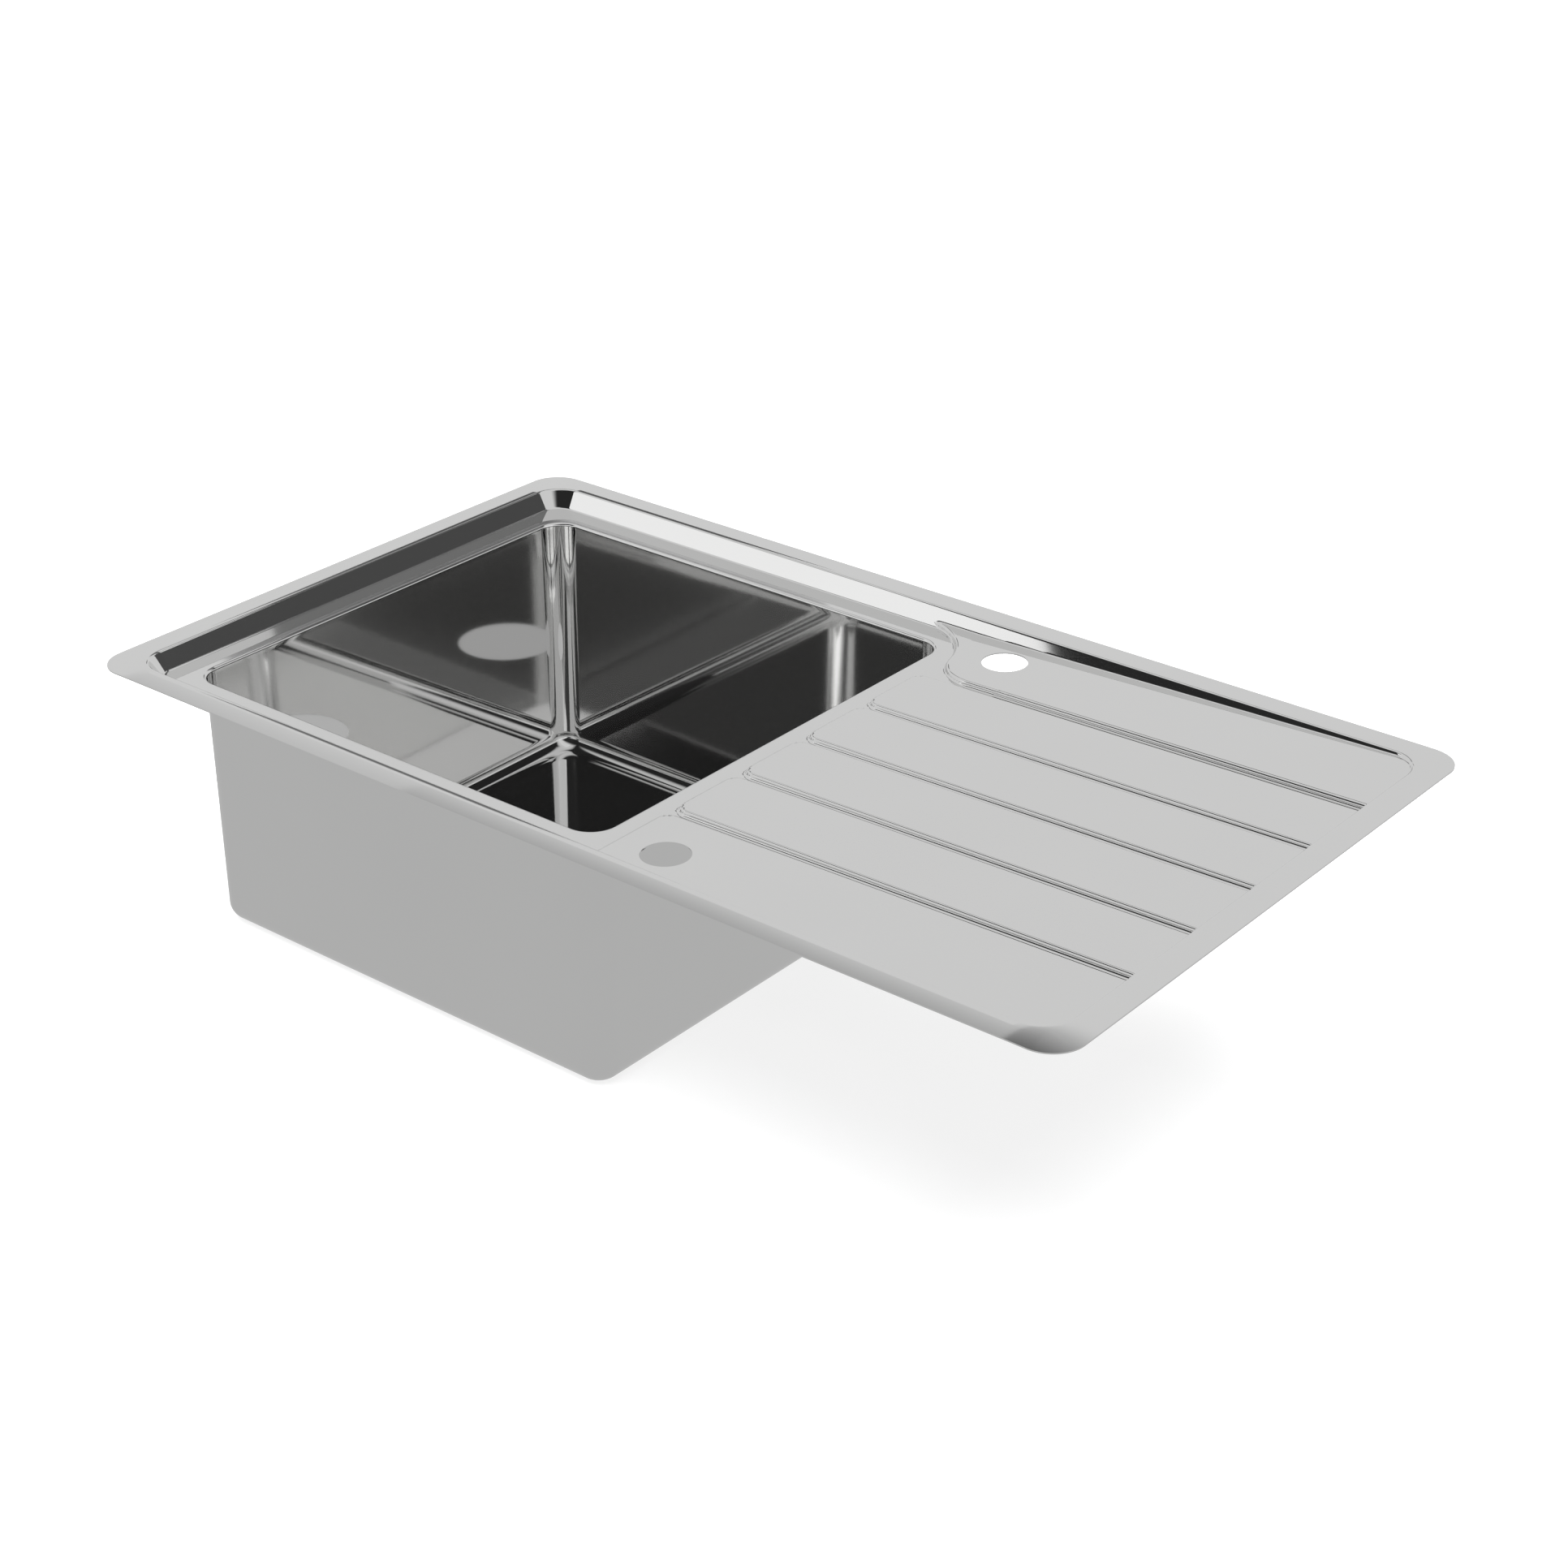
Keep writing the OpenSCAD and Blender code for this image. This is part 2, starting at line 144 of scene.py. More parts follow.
deckShape = {
    "cornerRadius": 25.0,
    "sheet": 1.0,
    "rimFall": 0.35,  # the rim's outer edge lies this much below its crest
    "rimFallPower": 1.15,
    "rimFallReach": 1.6,  # most that the fall's share may grow to past the edge
    "rim": 21.0,  # outer edge to the sharp crest of the recess
    "crestRadius": 2.0,
    "wallAngle": 57.0,
    "footRadius": 2.0,
    "recessCentre": 46.0,  # corner centres of the recess, in from both edges
    "ledgeDepth": 14.0,
    "riserX": 470.49,  # left end of the raised drainboard
    "riserHeight": 4.3,
    "riserReach": 5.0,  # the board's slope is carried on this far left of the riser
    "endDepth": 2.1,  # the board's right end lies this much below the rim
    "stepAngle": 78.0,
    "stripRadii": (1.5, 2.6),  # top and foot of the strips' sides
    "sweepRadii": (2.4, 1.5),  # top and foot of the sweep to the back wall
    "lipIn": 1.64,  # mid height of a step lies this far out from its top edge
    "grooveMiddles": (392.0, 321.0, 250.0, 179.0, 108.0),
    "grooveHalf": 5.4,
    "grooveDepth": 4.0,
    "boardFront": -200.0,  # the first strip runs on under the front wall
    "mouthRadius": 8.0,
    "sweepHollow": 62.5,
    "sweepCorner": 37.5,
    "sweepAngle": 76.0,
    "opening": (48.99, 49.99, 403.0, 400.02),  # x, y, length, width at the lip
    "openingRadius": 22.5,
    "tapHoles": ((509.0, 57.0), (509.0, 443.0)),
    "tapRadius": 17.5,
    "tapPatch": 19.5,  # half the square that is meshed anew round a tap hole
}
d = deckShape
wallAngle = math.radians(d["wallAngle"])
boardEnd = length - d["rim"]
boardFall = (d["ledgeDepth"] - d["riserHeight"] - d["endDepth"]) / (boardEnd - d["riserX"])


def recessInset(x, y):
    # distance in from the rim's edge, measured round the recess's corners
    centre = d["recessCentre"]
    dx = np.maximum(np.abs(x - length / 2) - (length / 2 - centre), 0)
    dy = np.maximum(np.abs(y - width / 2) - (width / 2 - centre), 0)
    return centre - np.hypot(dx, dy)


def stepRise(inside, rise, top, bottom, angle):
    # height over the foot of a step whose edge lies at inside = 0
    steep = math.tan(angle)
    z = np.clip(rise / 2 + inside * steep, 0, rise)
    topCentre = rise / (2 * steep) + top * math.tan(angle / 2)
    topZone = (inside > topCentre - top * math.sin(angle)) & (inside < topCentre)
    arcTop = rise - top + np.sqrt(np.maximum(top**2 - (topCentre - inside) ** 2, 0))
    z = np.where(topZone, arcTop, z)
    footCentre = -rise / (2 * steep) - bottom * math.tan(angle / 2)
    footZone = (inside > footCentre) & (inside < footCentre + bottom * math.sin(angle))
    arcFoot = bottom - np.sqrt(np.maximum(bottom**2 - (inside - footCentre) ** 2, 0))
    return np.where(footZone, arcFoot, z)


def stripInside(x, y, low, high):
    # depth inside one strip of the drainboard, its two left corners rounded
    radius = d["mouthRadius"] + d["lipIn"]
    across = np.abs(y - (low + high) / 2) - ((high - low) / 2 - d["mouthRadius"])
    along = d["riserX"] + d["mouthRadius"] - x
    outside = np.hypot(np.maximum(along, 0), np.maximum(across, 0))
    return radius - outside - np.minimum(np.maximum(along, across), 0)


def backInside(x, y):
    # depth inside the strip behind the last groove, which sweeps to the back wall
    edge = d["grooveMiddles"][0] + d["grooveHalf"]
    corner, hollow = d["sweepCorner"], d["sweepHollow"]
    turn = math.radians(d["sweepAngle"])
    cornerX = d["riserX"] + corner * math.sin(turn)
    cornerY = edge + corner
    hollowX = cornerX - (corner + hollow) * math.sin(turn)
    hollowY = cornerY - (corner + hollow) * math.cos(turn)
    side = (x - cornerX) * (hollowY - cornerY) - (y - cornerY) * (hollowX - cornerX)
    inCorner = corner - np.hypot(x - cornerX, y - cornerY)
    inHollow = np.where(x > hollowX, np.hypot(x - hollowX, y - hollowY) - hollow, -hollow)
    inSweep = np.where(side < 0, inCorner, inHollow)
    return np.where(x > cornerX, y - edge, inSweep)


def boardTop(x):
    # the raised drainboard's face, which climbs to the right
    return -d["ledgeDepth"] + d["riserHeight"] + (x - d["riserX"]) * boardFall


def floorHeight(x, y):
    # the recess's floor: ledge, groove bottoms and the raised strips between them
    middles, half = d["grooveMiddles"], d["grooveHalf"]
    inside = sweep = backInside(x, y)
    bounds = list(middles) + [d["boardFront"]]
    for back, front in zip(bounds, bounds[1:]):
        inside = np.maximum(inside, stripInside(x, y, front + half, back - half))
    top = boardTop(np.maximum(x, d["riserX"] - d["riserReach"]))
    foot = np.maximum(boardTop(x) - d["grooveDepth"], -d["ledgeDepth"])
    lip, hollow = (np.where(inside == sweep, a, b)
                   for a, b in zip(d["sweepRadii"], d["stripRadii"]))
    rise = stepRise(inside, top - foot, lip, hollow, math.radians(d["stepAngle"]))
    return foot + rise


def deckHeight(x, y):
    # the whole upper face: rim, crest, sloped wall, its foot and the floor
    steep = math.tan(wallAngle)
    inset = recessInset(x, y)
    crest = d["crestRadius"]
    crestStart = d["rim"] - crest * math.tan(wallAngle / 2)
    crestEnd = crestStart + crest * math.sin(wallAngle)
    wall = -(inset - d["rim"]) * steep
    arc = -crest + np.sqrt(np.maximum(crest**2 - (inset - crestStart) ** 2, 0))
    share = np.clip((crestStart - inset) / crestStart, 0, d["rimFallReach"])
    band = -d["rimFall"] * share ** d["rimFallPower"]
    wall = np.where(inset < crestStart, band, np.where(inset < crestEnd, arc, wall))
    floor = floorHeight(x, y)
    foot = d["footRadius"]
    footCentre = d["rim"] - floor / steep + foot * math.tan(wallAngle / 2)
    footStart = footCentre - foot * math.sin(wallAngle)
    bend = floor + foot - np.sqrt(np.maximum(foot**2 - (inset - footCentre) ** 2, 0))
    low = np.where(inset < footCentre, bend, floor)
    return np.where((inset < footStart) | (inset < crestEnd), wall, low)


deckMesh = {  # grid steps, in millimetres
    "wall": 0.5,
    "corner": 0.9,
    "sweep": 0.6,
    "riser": 0.3,
    "groove": 0.4,
    "far": 2.75,
    "open": 14.0,
}
deckGrid = {
    "upper": 1.0,  # the upper skin's steps, as a multiple of deckMesh
    "upperQuick": 2.0,
    "lower": 3.0,
    "slopeStep": 0.01,
    "closest": 0.08,  # grid lines lie at least this far apart
    "edgeZones": (0, 20, 32, 46),  # in from each edge: rim, wall, recess's corners
    "edgeStep": 5,
    "joints": (420, 532),  # x where the blocks left and right of the mouths end
    "mouthZones": (466, 472, 481),  # x round the riser
    "mouthSteps": (8, 10),  # left of the riser's zones and right of them
    "sweepEnd": 512,
    "sweepStep": 5,
    "sweepInset": 27,  # the sweep's fine lines stop this far from the back edge
    "grooveZones": (-3.7, 0.3, 11.3),  # out from a groove's edge
    "cornerSteps": 24,
    "holeSteps": 96,
    "digits": 4,  # points that agree to these places are one point
    "touching": 1e-4,  # a point this near to a line lies on it
    "same": 1e-9,
}


def deckNormal(x, y):
    e = deckGrid["slopeStep"]
    slopeX = (deckHeight(x + e, y) - deckHeight(x - e, y)) / (2 * e)
    slopeY = (deckHeight(x, y + e) - deckHeight(x, y - e)) / (2 * e)
    n = np.stack([-slopeX, -slopeY, np.ones_like(slopeX)], axis=-1)
    return n / np.linalg.norm(n, axis=-1, keepdims=True)


def gridLines(keys, *spans):
    # grid lines at each span's own step, and at every key line
    marks = list(keys)
    for start, stop, step in spans:
        marks.extend(np.linspace(start, stop, int(round((stop - start) / step)) + 1))
    marks = np.array(sorted(marks))
    kept = [marks[0]]
    for mark in marks[1:]:
        if mark - kept[-1] > deckGrid["closest"]:
            kept.append(mark)
        elif any(abs(mark - key) < deckGrid["same"] for key in keys):
            kept[-1] = mark
    return np.array(kept)


def deckBlocks(loose):
    # grid lines of the sheet's blocks, close only where the sheet bends
    m = {k: v * loose for k, v in deckMesh.items()}
    g = deckGrid
    x0, y0, openLength, openWidth = d["opening"]
    radius, corner, patch = d["openingRadius"], d["cornerRadius"], d["tapPatch"]
    tapX = d["tapHoles"][0][0]
    keysX = [0, length, corner, length - corner, x0, x0 + radius, x0 + openLength - radius,
             x0 + openLength, tapX - patch, tapX + patch]
    keysY = [0, width, corner, width - corner, y0, y0 + radius, y0 + openWidth - radius,
             y0 + openWidth]
    for _, tapY in d["tapHoles"]:
        keysY += [tapY - patch, tapY + patch]

    def lines(keys, low, high, spans):
        held = [k for k in keys if low < k < high] + [low, high]
        return gridLines(held, *[s for s in spans if s[0] >= low and s[1] <= high])

    def edgeSpans(size):
        steps = (g["edgeStep"], m["wall"], m["corner"])
        near = list(zip(g["edgeZones"], g["edgeZones"][1:], steps))
        return near + [(size - b, size - a, step) for a, b, step in near]

    split = d["grooveMiddles"][0]
    inner = g["edgeZones"][-1]
    flat = (inner, width - inner, m["open"])
    before, beyond, last = g["grooveZones"]
    grooves = []
    for middle in d["grooveMiddles"]:
        for side in (-1, 1):
            edge = middle + side * d["grooveHalf"]
            near = sorted((edge + side * before, edge + side * beyond))
            far = sorted((edge + side * beyond, edge + side * last))
            grooves += [(*near, m["groove"]), (*far, m["far"])]
    left, sweep = g["joints"]
    straight = length - inner
    openX = (inner, left, m["open"])
    zones = (left, *g["mouthZones"], sweep)
    mouthSteps = (g["mouthSteps"][0], m["riser"], m["corner"], g["mouthSteps"][1])
    mouths = list(zip(zones, zones[1:], mouthSteps))
    sweepX = [(left, g["sweepEnd"], m["sweep"]), (g["sweepEnd"], sweep, g["sweepStep"])]
    sweepY = [(split, width - g["sweepInset"], m["sweep"])]
    ys = lines(keysY, 0, width, edgeSpans(width) + [flat] + grooves)
    return [
        (lines(keysX, 0, left, edgeSpans(length) + [openX]),
         lines(keysY, 0, width, edgeSpans(width) + [flat])),
        (lines(keysX, left, sweep, mouths), np.array([y for y in ys if y < split] + [split])),
        (lines(keysX, left, sweep, sweepX),
         lines(keysY, split, width, edgeSpans(width) + sweepY)),
        (lines(keysX, sweep, straight, [(sweep, straight, m["open"])]), ys),
        (lines(keysX, straight, length, edgeSpans(length)), ys),
    ]


def addBlocks(bm, blocks):
    # blocks share the points on their borders, so no gap opens between them
    points = {}

    def rounded(value):
        return round(value, deckGrid["digits"])

    def point(x, y):
        key = (rounded(x), rounded(y))
        if key not in points:
            points[key] = bm.verts.new((x, y, 0))
        return points[key]

    onX, onY = {}, {}
    for xs, ys in blocks:
        for x in (xs[0], xs[-1]):
            onX.setdefault(rounded(x), set()).update(rounded(y) for y in ys)
        for y in (ys[0], ys[-1]):
            onY.setdefault(rounded(y), set()).update(rounded(x) for x in xs)

    def between(marks, start, stop):
        low, high = sorted((rounded(start), rounded(stop)))
        inner = sorted(m for m in marks if low < m < high)
        return inner if stop > start else inner[::-1]

    for xs, ys in blocks:
        lowX, highX = onX[rounded(xs[0])], onX[rounded(xs[-1])]
        lowY, highY = onY[rounded(ys[0])], onY[rounded(ys[-1])]
        for i, (xa, xb) in enumerate(zip(xs, xs[1:])):
            for j, (ya, yb) in enumerate(zip(ys, ys[1:])):
                ring = [point(xa, ya)]
                if j == 0:
                    ring += [point(x, ya) for x in between(lowY, xa, xb)]
                ring.append(point(xb, ya))
                if i == len(xs) - 2:
                    ring += [point(xb, y) for y in between(highX, ya, yb)]
                ring.append(point(xb, yb))
                if j == len(ys) - 2:
                    ring += [point(x, yb) for x in between(highY, xb, xa)]
                ring.append(point(xa, yb))
                if i == 0:
                    ring += [point(xa, y) for y in between(lowX, yb, ya)]
                bm.faces.new(ring)


def cornerFill(bm, corner, centre, radius, outward):
    # one flat face between a corner's arc and the grid edges of the removed square
    x0, x1 = sorted((corner[0], centre[0]))
    y0, y1 = sorted((corner[1], centre[1]))
    lineX, lineY = corner if outward else centre
    near = deckGrid["touching"]

    def along(v):
        onX = abs(v.co.x - lineX) < near and y0 - near < v.co.y < y1 + near
        onY = abs(v.co.y - lineY) < near and x0 - near < v.co.x < x1 + near
        return onX, onY

    edgeVerts = {v for e in bm.edges if e.is_boundary for v in e.verts}
    onLineX = [v for v in edgeVerts if along(v)[0]]
    onLineY = [v for v in edgeVerts if along(v)[1]]
    startX, startY = centre if outward else corner
    onLineX.sort(key=lambda v: abs(v.co.y - startY))
    onLineY.sort(key=lambda v: -abs(v.co.x - startX))
    ring = onLineX + [v for v in onLineY if v not in onLineX]
    steps = deckGrid["cornerSteps"]
    first, last = ring[-1], ring[0]
    a0 = math.atan2(first.co.y - centre[1], first.co.x - centre[0])
    a1 = math.atan2(last.co.y - centre[1], last.co.x - centre[0])
    turn = (a1 - a0 + math.pi) % (2 * math.pi) - math.pi
    for i in range(1, steps):
        a = a0 + turn * i / steps
        ring.append(bm.verts.new((centre[0] + radius * math.cos(a),
                                  centre[1] + radius * math.sin(a), 0)))
    face = bm.faces.new(ring)
    face.normal_update()
    if face.normal.z < 0:
        face.normal_flip()


def finishPiece(bm, name, material, node):
    # hands the piece over, with its skins' true normals and flat cut edges
    normalOf = bm.verts.layers.float_vector["skinNormal"]
    cut = bm.faces.layers.int["cutEdge"]
    bm.normal_update()
    loopNormals = []
    for face in bm.faces:
        face.smooth = True
        flat = face[cut] == 1
        for loop in face.loops:
            loopNormals.append(tuple(face.normal) if flat else tuple(loop.vert[normalOf]))
    for v in bm.verts:
        v.co = fromRim(*v.co)
    mesh = bpy.data.meshes.new(name)
    bm.to_mesh(mesh)
    bm.free()
    mesh.normals_split_custom_set(loopNormals)
    mesh.materials.append(material)
    piece = bpy.data.objects.new(name, mesh)
    bpy.context.scene.collection.objects.link(piece)
    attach(piece, "sink")
    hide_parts(node)


def stitchHole(bm, outer, middle, radius):
    # triangles from the grid round a hole to the hole's own circle
    def turnOf(v):
        return math.atan2(v.co.y - middle[1], v.co.x - middle[0]) % (2 * math.pi)

    outer = sorted(outer, key=turnOf)
    steps = deckGrid["holeSteps"]
    inner = [bm.verts.new((middle[0] + radius * math.cos(2 * math.pi * i / steps),
                           middle[1] + radius * math.sin(2 * math.pi * i / steps), 0))
             for i in range(steps)]
    turns = [turnOf(v) for v in outer] + [turnOf(outer[0]) + 2 * math.pi]
    i = j = 0
    while i < len(outer) or j < steps:
        a, b = outer[i % len(outer)], inner[j % steps]
        if j == steps or (i < len(outer) and turns[i + 1] < 2 * math.pi * (j + 1) / steps):
            i += 1
            bm.faces.new((a, outer[i % len(outer)], b))
        else:
            j += 1
            bm.faces.new((a, inner[j % steps], b))


def skinDeck(bm, loose, offset):
    # one skin of the sheet: the upper face, or the lower face at the sheet's offset
    normalOf = bm.verts.layers.float_vector["skinNormal"]
    addBlocks(bm, deckBlocks(loose))
    x0, y0, openLength, openWidth = d["opening"]
    x1, y1 = x0 + openLength, y0 + openWidth
    radius, corner, patch = d["openingRadius"], d["cornerRadius"], d["tapPatch"]
    rimCorners = [(cx, cy) for cx in (0, length) for cy in (0, width)]
    holes = [(x0, x1, y0, y1)]
    holes += [(tx - patch, tx + patch, ty - patch, ty + patch) for tx, ty in d["tapHoles"]]
    for cx, cy in rimCorners:
        holes.append((*sorted((cx, abs(cx - corner))), *sorted((cy, abs(cy - corner)))))
    gone = []
    for face in bm.faces:
        middle = face.calc_center_median()
        if any(a < middle.x < b and e < middle.y < f for a, b, e, f in holes):
            gone.append(face)
    bmesh.ops.delete(bm, geom=gone, context="FACES")
    for cx, cy in rimCorners:
        cornerFill(bm, (cx, cy), (abs(cx - corner), abs(cy - corner)), corner, False)
    for cx, sx in ((x0, 1), (x1, -1)):
        for cy, sy in ((y0, 1), (y1, -1)):
            cornerFill(bm, (cx, cy), (cx + sx * radius, cy + sy * radius), radius, True)
    for tx, ty in d["tapHoles"]:
        near = patch + deckGrid["touching"]
        square = [e for e in bm.edges if e.is_boundary and all(
            abs(v.co.x - tx) < near and abs(v.co.y - ty) < near for v in e.verts)]
        stitchHole(bm, {v for e in square for v in e.verts}, (tx, ty), d["tapRadius"])
    for face in bm.faces:
        face.normal_update()
        if (face.normal.z < 0) != (offset > 0):
            face.normal_flip()
    plan = np.array([v.co[:2] for v in bm.verts])
    heights = deckHeight(plan[:, 0], plan[:, 1])
    normals = deckNormal(plan[:, 0], plan[:, 1])
    for v, z, normal in zip(bm.verts, heights, normals):
        v.co.z = z
        v.co -= Vector(normal) * offset
        v[normalOf] = -Vector(normal) if offset else normal


def newSkin():
    bm = bmesh.new()
    bm.verts.layers.float_vector.new("skinNormal")
    bm.faces.layers.int.new("cutEdge")
    return bm


def openLoops(bm):
    # the boundary edges, gathered into rings in the mesh's own order
    left = {e for e in bm.edges if e.is_boundary}
    rings = []
    for start in bm.edges:
        if start not in left:
            continue
        left.remove(start)
        edges = [start]
        stack = list(start.verts)
        while stack:
            for e in stack.pop().link_edges:
                if e in left:
                    left.remove(e)
                    edges.append(e)
                    stack += e.verts
        rings.append(edges)
    return rings


def ringMiddle(edges):
    xs = [v.co.x for e in edges for v in e.verts]
    ys = [v.co.y for e in edges for v in e.verts]
    return (min(xs) + max(xs)) / 2, (min(ys) + max(ys)) / 2, max(xs) - min(xs)


def closeSheet(bm):
    # joins each ring of the upper face to the one below it by a narrow cut edge
    cut = bm.faces.layers.int["cutEdge"]
    rings = openLoops(bm)
    used = set()
    for i, ring in enumerate(rings):
        if i in used:
            continue
        here = ringMiddle(ring)
        j = min((k for k in range(len(rings)) if k != i and k not in used),
                key=lambda k: sum(abs(a - b) for a, b in zip(here, ringMiddle(rings[k]))))
        used |= {i, j}
        for face in bmesh.ops.bridge_loops(bm, edges=ring + rings[j])["faces"]:
            face[cut] = 1


def buildDeck():
    bm = newSkin()
    skinDeck(bm, deckGrid["upper"], 0)
    print("deck upper face", len(bm.faces), "faces")
    under = newSkin()
    skinDeck(under, deckGrid["lower"], d["sheet"])
    lower = bpy.data.meshes.new("lowerFace")
    under.to_mesh(lower)
    under.free()
    bm.from_mesh(lower)
    bpy.data.meshes.remove(lower)
    print("deck both faces", len(bm.faces), "faces")
    closeSheet(bm)
    finishPiece(bm, "deckSheet", steel, "deck")


# Bowl: one drawn shell, from the lip that turns down off the ledge to the waste hole

bowlShape = {
    "lipRadius": 2.5,
    "collar": 3.0,  # upright length under the lip's bend
    "draft": 0.7,  # degrees that the walls lean in
    "floorRadius": 14.0,
    "wasteMiddle": (250.49, 313.0),
    "wasteRadius": 45.0,
    "lipSteps": 8,
    "floorSteps": 14,
    "cornerSteps": 24,
    "wasteSteps": 128,
}


def bowlProfile():
    # inward distance, height and skin normal, from the lip down to the floor
    b = bowlShape
    draft = math.radians(b["draft"])
    points = []
    lip = b["lipRadius"]
    top = -d["ledgeDepth"] - lip
    for i in range(b["lipSteps"] + 1):
        a = math.radians(90 - 90 * i / b["lipSteps"])
        points.append((lip * math.cos(a), top + lip * math.sin(a), math.cos(a), math.sin(a)))
    collar = top - b["collar"]
    points.append((lip, collar, math.cos(draft), math.sin(draft)))
    bendZ = -height + d["sheet"] + b["floorRadius"]
    bendIn = lip + (collar - bendZ) * math.tan(draft) + b["floorRadius"] / math.cos(draft)
    for i in range(b["floorSteps"] + 1):
        a = math.pi + draft + (math.pi / 2 - draft) * i / b["floorSteps"]
        points.append((bendIn + b["floorRadius"] * math.cos(a),
                       bendZ + b["floorRadius"] * math.sin(a), -math.cos(a), -math.sin(a)))
    return points


def buildBowl():
    b = bowlShape
    bm = newSkin()
    normalOf = bm.verts.layers.float_vector["skinNormal"]
    x0, y0, openLength, openWidth = d["opening"]
    x1, y1 = x0 + openLength, y0 + openWidth
    radius = d["openingRadius"]
    corners = ((x1 - radius, y1 - radius, 0), (x0 + radius, y1 - radius, 90),
               (x0 + radius, y0 + radius, 180), (x1 - radius, y0 + radius, 270))
    loops = []
    for inward, z, nIn, nZ in bowlProfile():
        loop = []
        for cx, cy, start in corners:
            for i in range(b["cornerSteps"] + 1):
                a = math.radians(start + 90 * i / b["cornerSteps"])
                out = Vector((math.cos(a), math.sin(a), 0))
                reach = radius - inward
                v = bm.verts.new((cx + reach * out.x, cy + reach * out.y, z))
                v[normalOf] = -out * nIn + Vector((0, 0, nZ))
                loop.append(v)
        loops.append(loop)
    for upper, lower in zip(loops, loops[1:]):
        for i in range(len(upper)):
            j = (i + 1) % len(upper)
            bm.faces.new((upper[i], upper[j], lower[j], lower[i]))
    ring = bmesh.ops.create_circle(bm, segments=b["wasteSteps"],
                                   radius=b["wasteRadius"])["verts"]
    for v in ring:
        v.co += Vector((*b["wasteMiddle"], loops[-1][0].co.z))
        v[normalOf] = (0, 0, 1)
    circle = list(dict.fromkeys(e for v in ring for e in v.link_edges))
    last = set(loops[-1])
    rim = [e for e in bm.edges if e.is_boundary and all(v in last for v in e.verts)]
    floor = bmesh.ops.triangle_fill(bm, edges=rim + circle, use_beauty=True)
    for face in [g for g in floor["geom"] if isinstance(g, bmesh.types.BMFace)]:
        face.normal_update()
        if face.normal.z < 0:
            face.normal_flip()
    made = bmesh.ops.duplicate(bm, geom=list(bm.verts) + list(bm.edges) + list(bm.faces))
    for item in made["geom"]:
        if isinstance(item, bmesh.types.BMFace):
            item.normal_flip()
        elif isinstance(item, bmesh.types.BMVert):
            item.co -= Vector(item[normalOf]) * d["sheet"]
            item[normalOf] = -item[normalOf]
    closeSheet(bm)
    finishPiece(bm, "bowlShell", steel, "bowl")


buildDeck()
print("deck built")
buildBowl()
print("bowl built")

# Finishes of the pieces under the rim

zincLook = {
    "colour": (0.62, 0.63, 0.63), "dull": (0.50, 0.51, 0.50), "rough": (0.22, 0.42),
    "scale": 160.0, "metallic": 1.0, "bump": 0.1,
}
screwLook = {
    "colour": (0.66, 0.64, 0.58), "dull": (0.54, 0.52, 0.46), "rough": (0.20, 0.38),
    "scale": 220.0, "metallic": 1.0, "bump": 0.1,
}
foamLook = {
    "colour": (0.030, 0.030, 0.033), "dull": (0.055, 0.055, 0.058), "rough": (0.85, 0.97),
    "scale": 900.0, "metallic": 0.0, "bump": 0.6,
}
padLook = {
    "colour": (0.050, 0.053, 0.058), "dull": (0.085, 0.088, 0.094), "rough": (0.70, 0.92),
    "scale": 420.0, "metallic": 0.0, "bump": 0.5,
}
mottling = {"detail": 5.0, "relief": 0.0004}  # relief in metres


def mottled(name, look):
    material, nodes, links, shader = newMaterial(name)
    shader.inputs["Metallic"].default_value = look["metallic"]
    coords = nodes.new("ShaderNodeTexCoord")
    noise = nodes.new("ShaderNodeTexNoise")
    noise.inputs["Scale"].default_value = look["scale"]
    noise.inputs["Detail"].default_value = mottling["detail"]
    links.new(coords.outputs["Object"], noise.inputs["Vector"])
    tone = nodes.new("ShaderNodeMix")
    tone.data_type = "RGBA"
    tone.inputs["A"].default_value = look["colour"] + (1,)
    tone.inputs["B"].default_value = look["dull"] + (1,)
    links.new(noise.outputs["Fac"], tone.inputs["Factor"])
    links.new(tone.outputs["Result"], shader.inputs["Base Color"])
    rough = nodes.new("ShaderNodeMapRange")
    rough.inputs["To Min"].default_value = look["rough"][0]
    rough.inputs["To Max"].default_value = look["rough"][1]
    links.new(noise.outputs["Fac"], rough.inputs["Value"])
    links.new(rough.outputs["Result"], shader.inputs["Roughness"])
    relief = nodes.new("ShaderNodeBump")
    relief.inputs["Strength"].default_value = look["bump"]
    relief.inputs["Distance"].default_value = mottling["relief"]
    links.new(noise.outputs["Fac"], relief.inputs["Height"])
    links.new(relief.outputs["Normal"], shader.inputs["Normal"])
    return material


finishes = {
    "clip_bracket": (mottled("zincPlate", zincLook), "clip_steel"),
    "clip_screw": (mottled("zincScrew", screwLook), "screw_steel"),
    "rim_seal": (mottled("foamStrip", foamLook), "foam"),
    "pad": (mottled("bitumenPad", padLook), "damping_pad"),
}
finishes["clip_claw"] = finishes["clip_bracket"]
finishes["clip_washer"] = finishes["clip_screw"]
for name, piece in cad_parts.items():
    for start, (material, slotName) in finishes.items():
        if name.startswith(start):
            piece.data.materials.clear()
            piece.data.materials.append(material)
print("finishes set")

# Studio: a white surround, a white floor and cards overhead that only reflections show

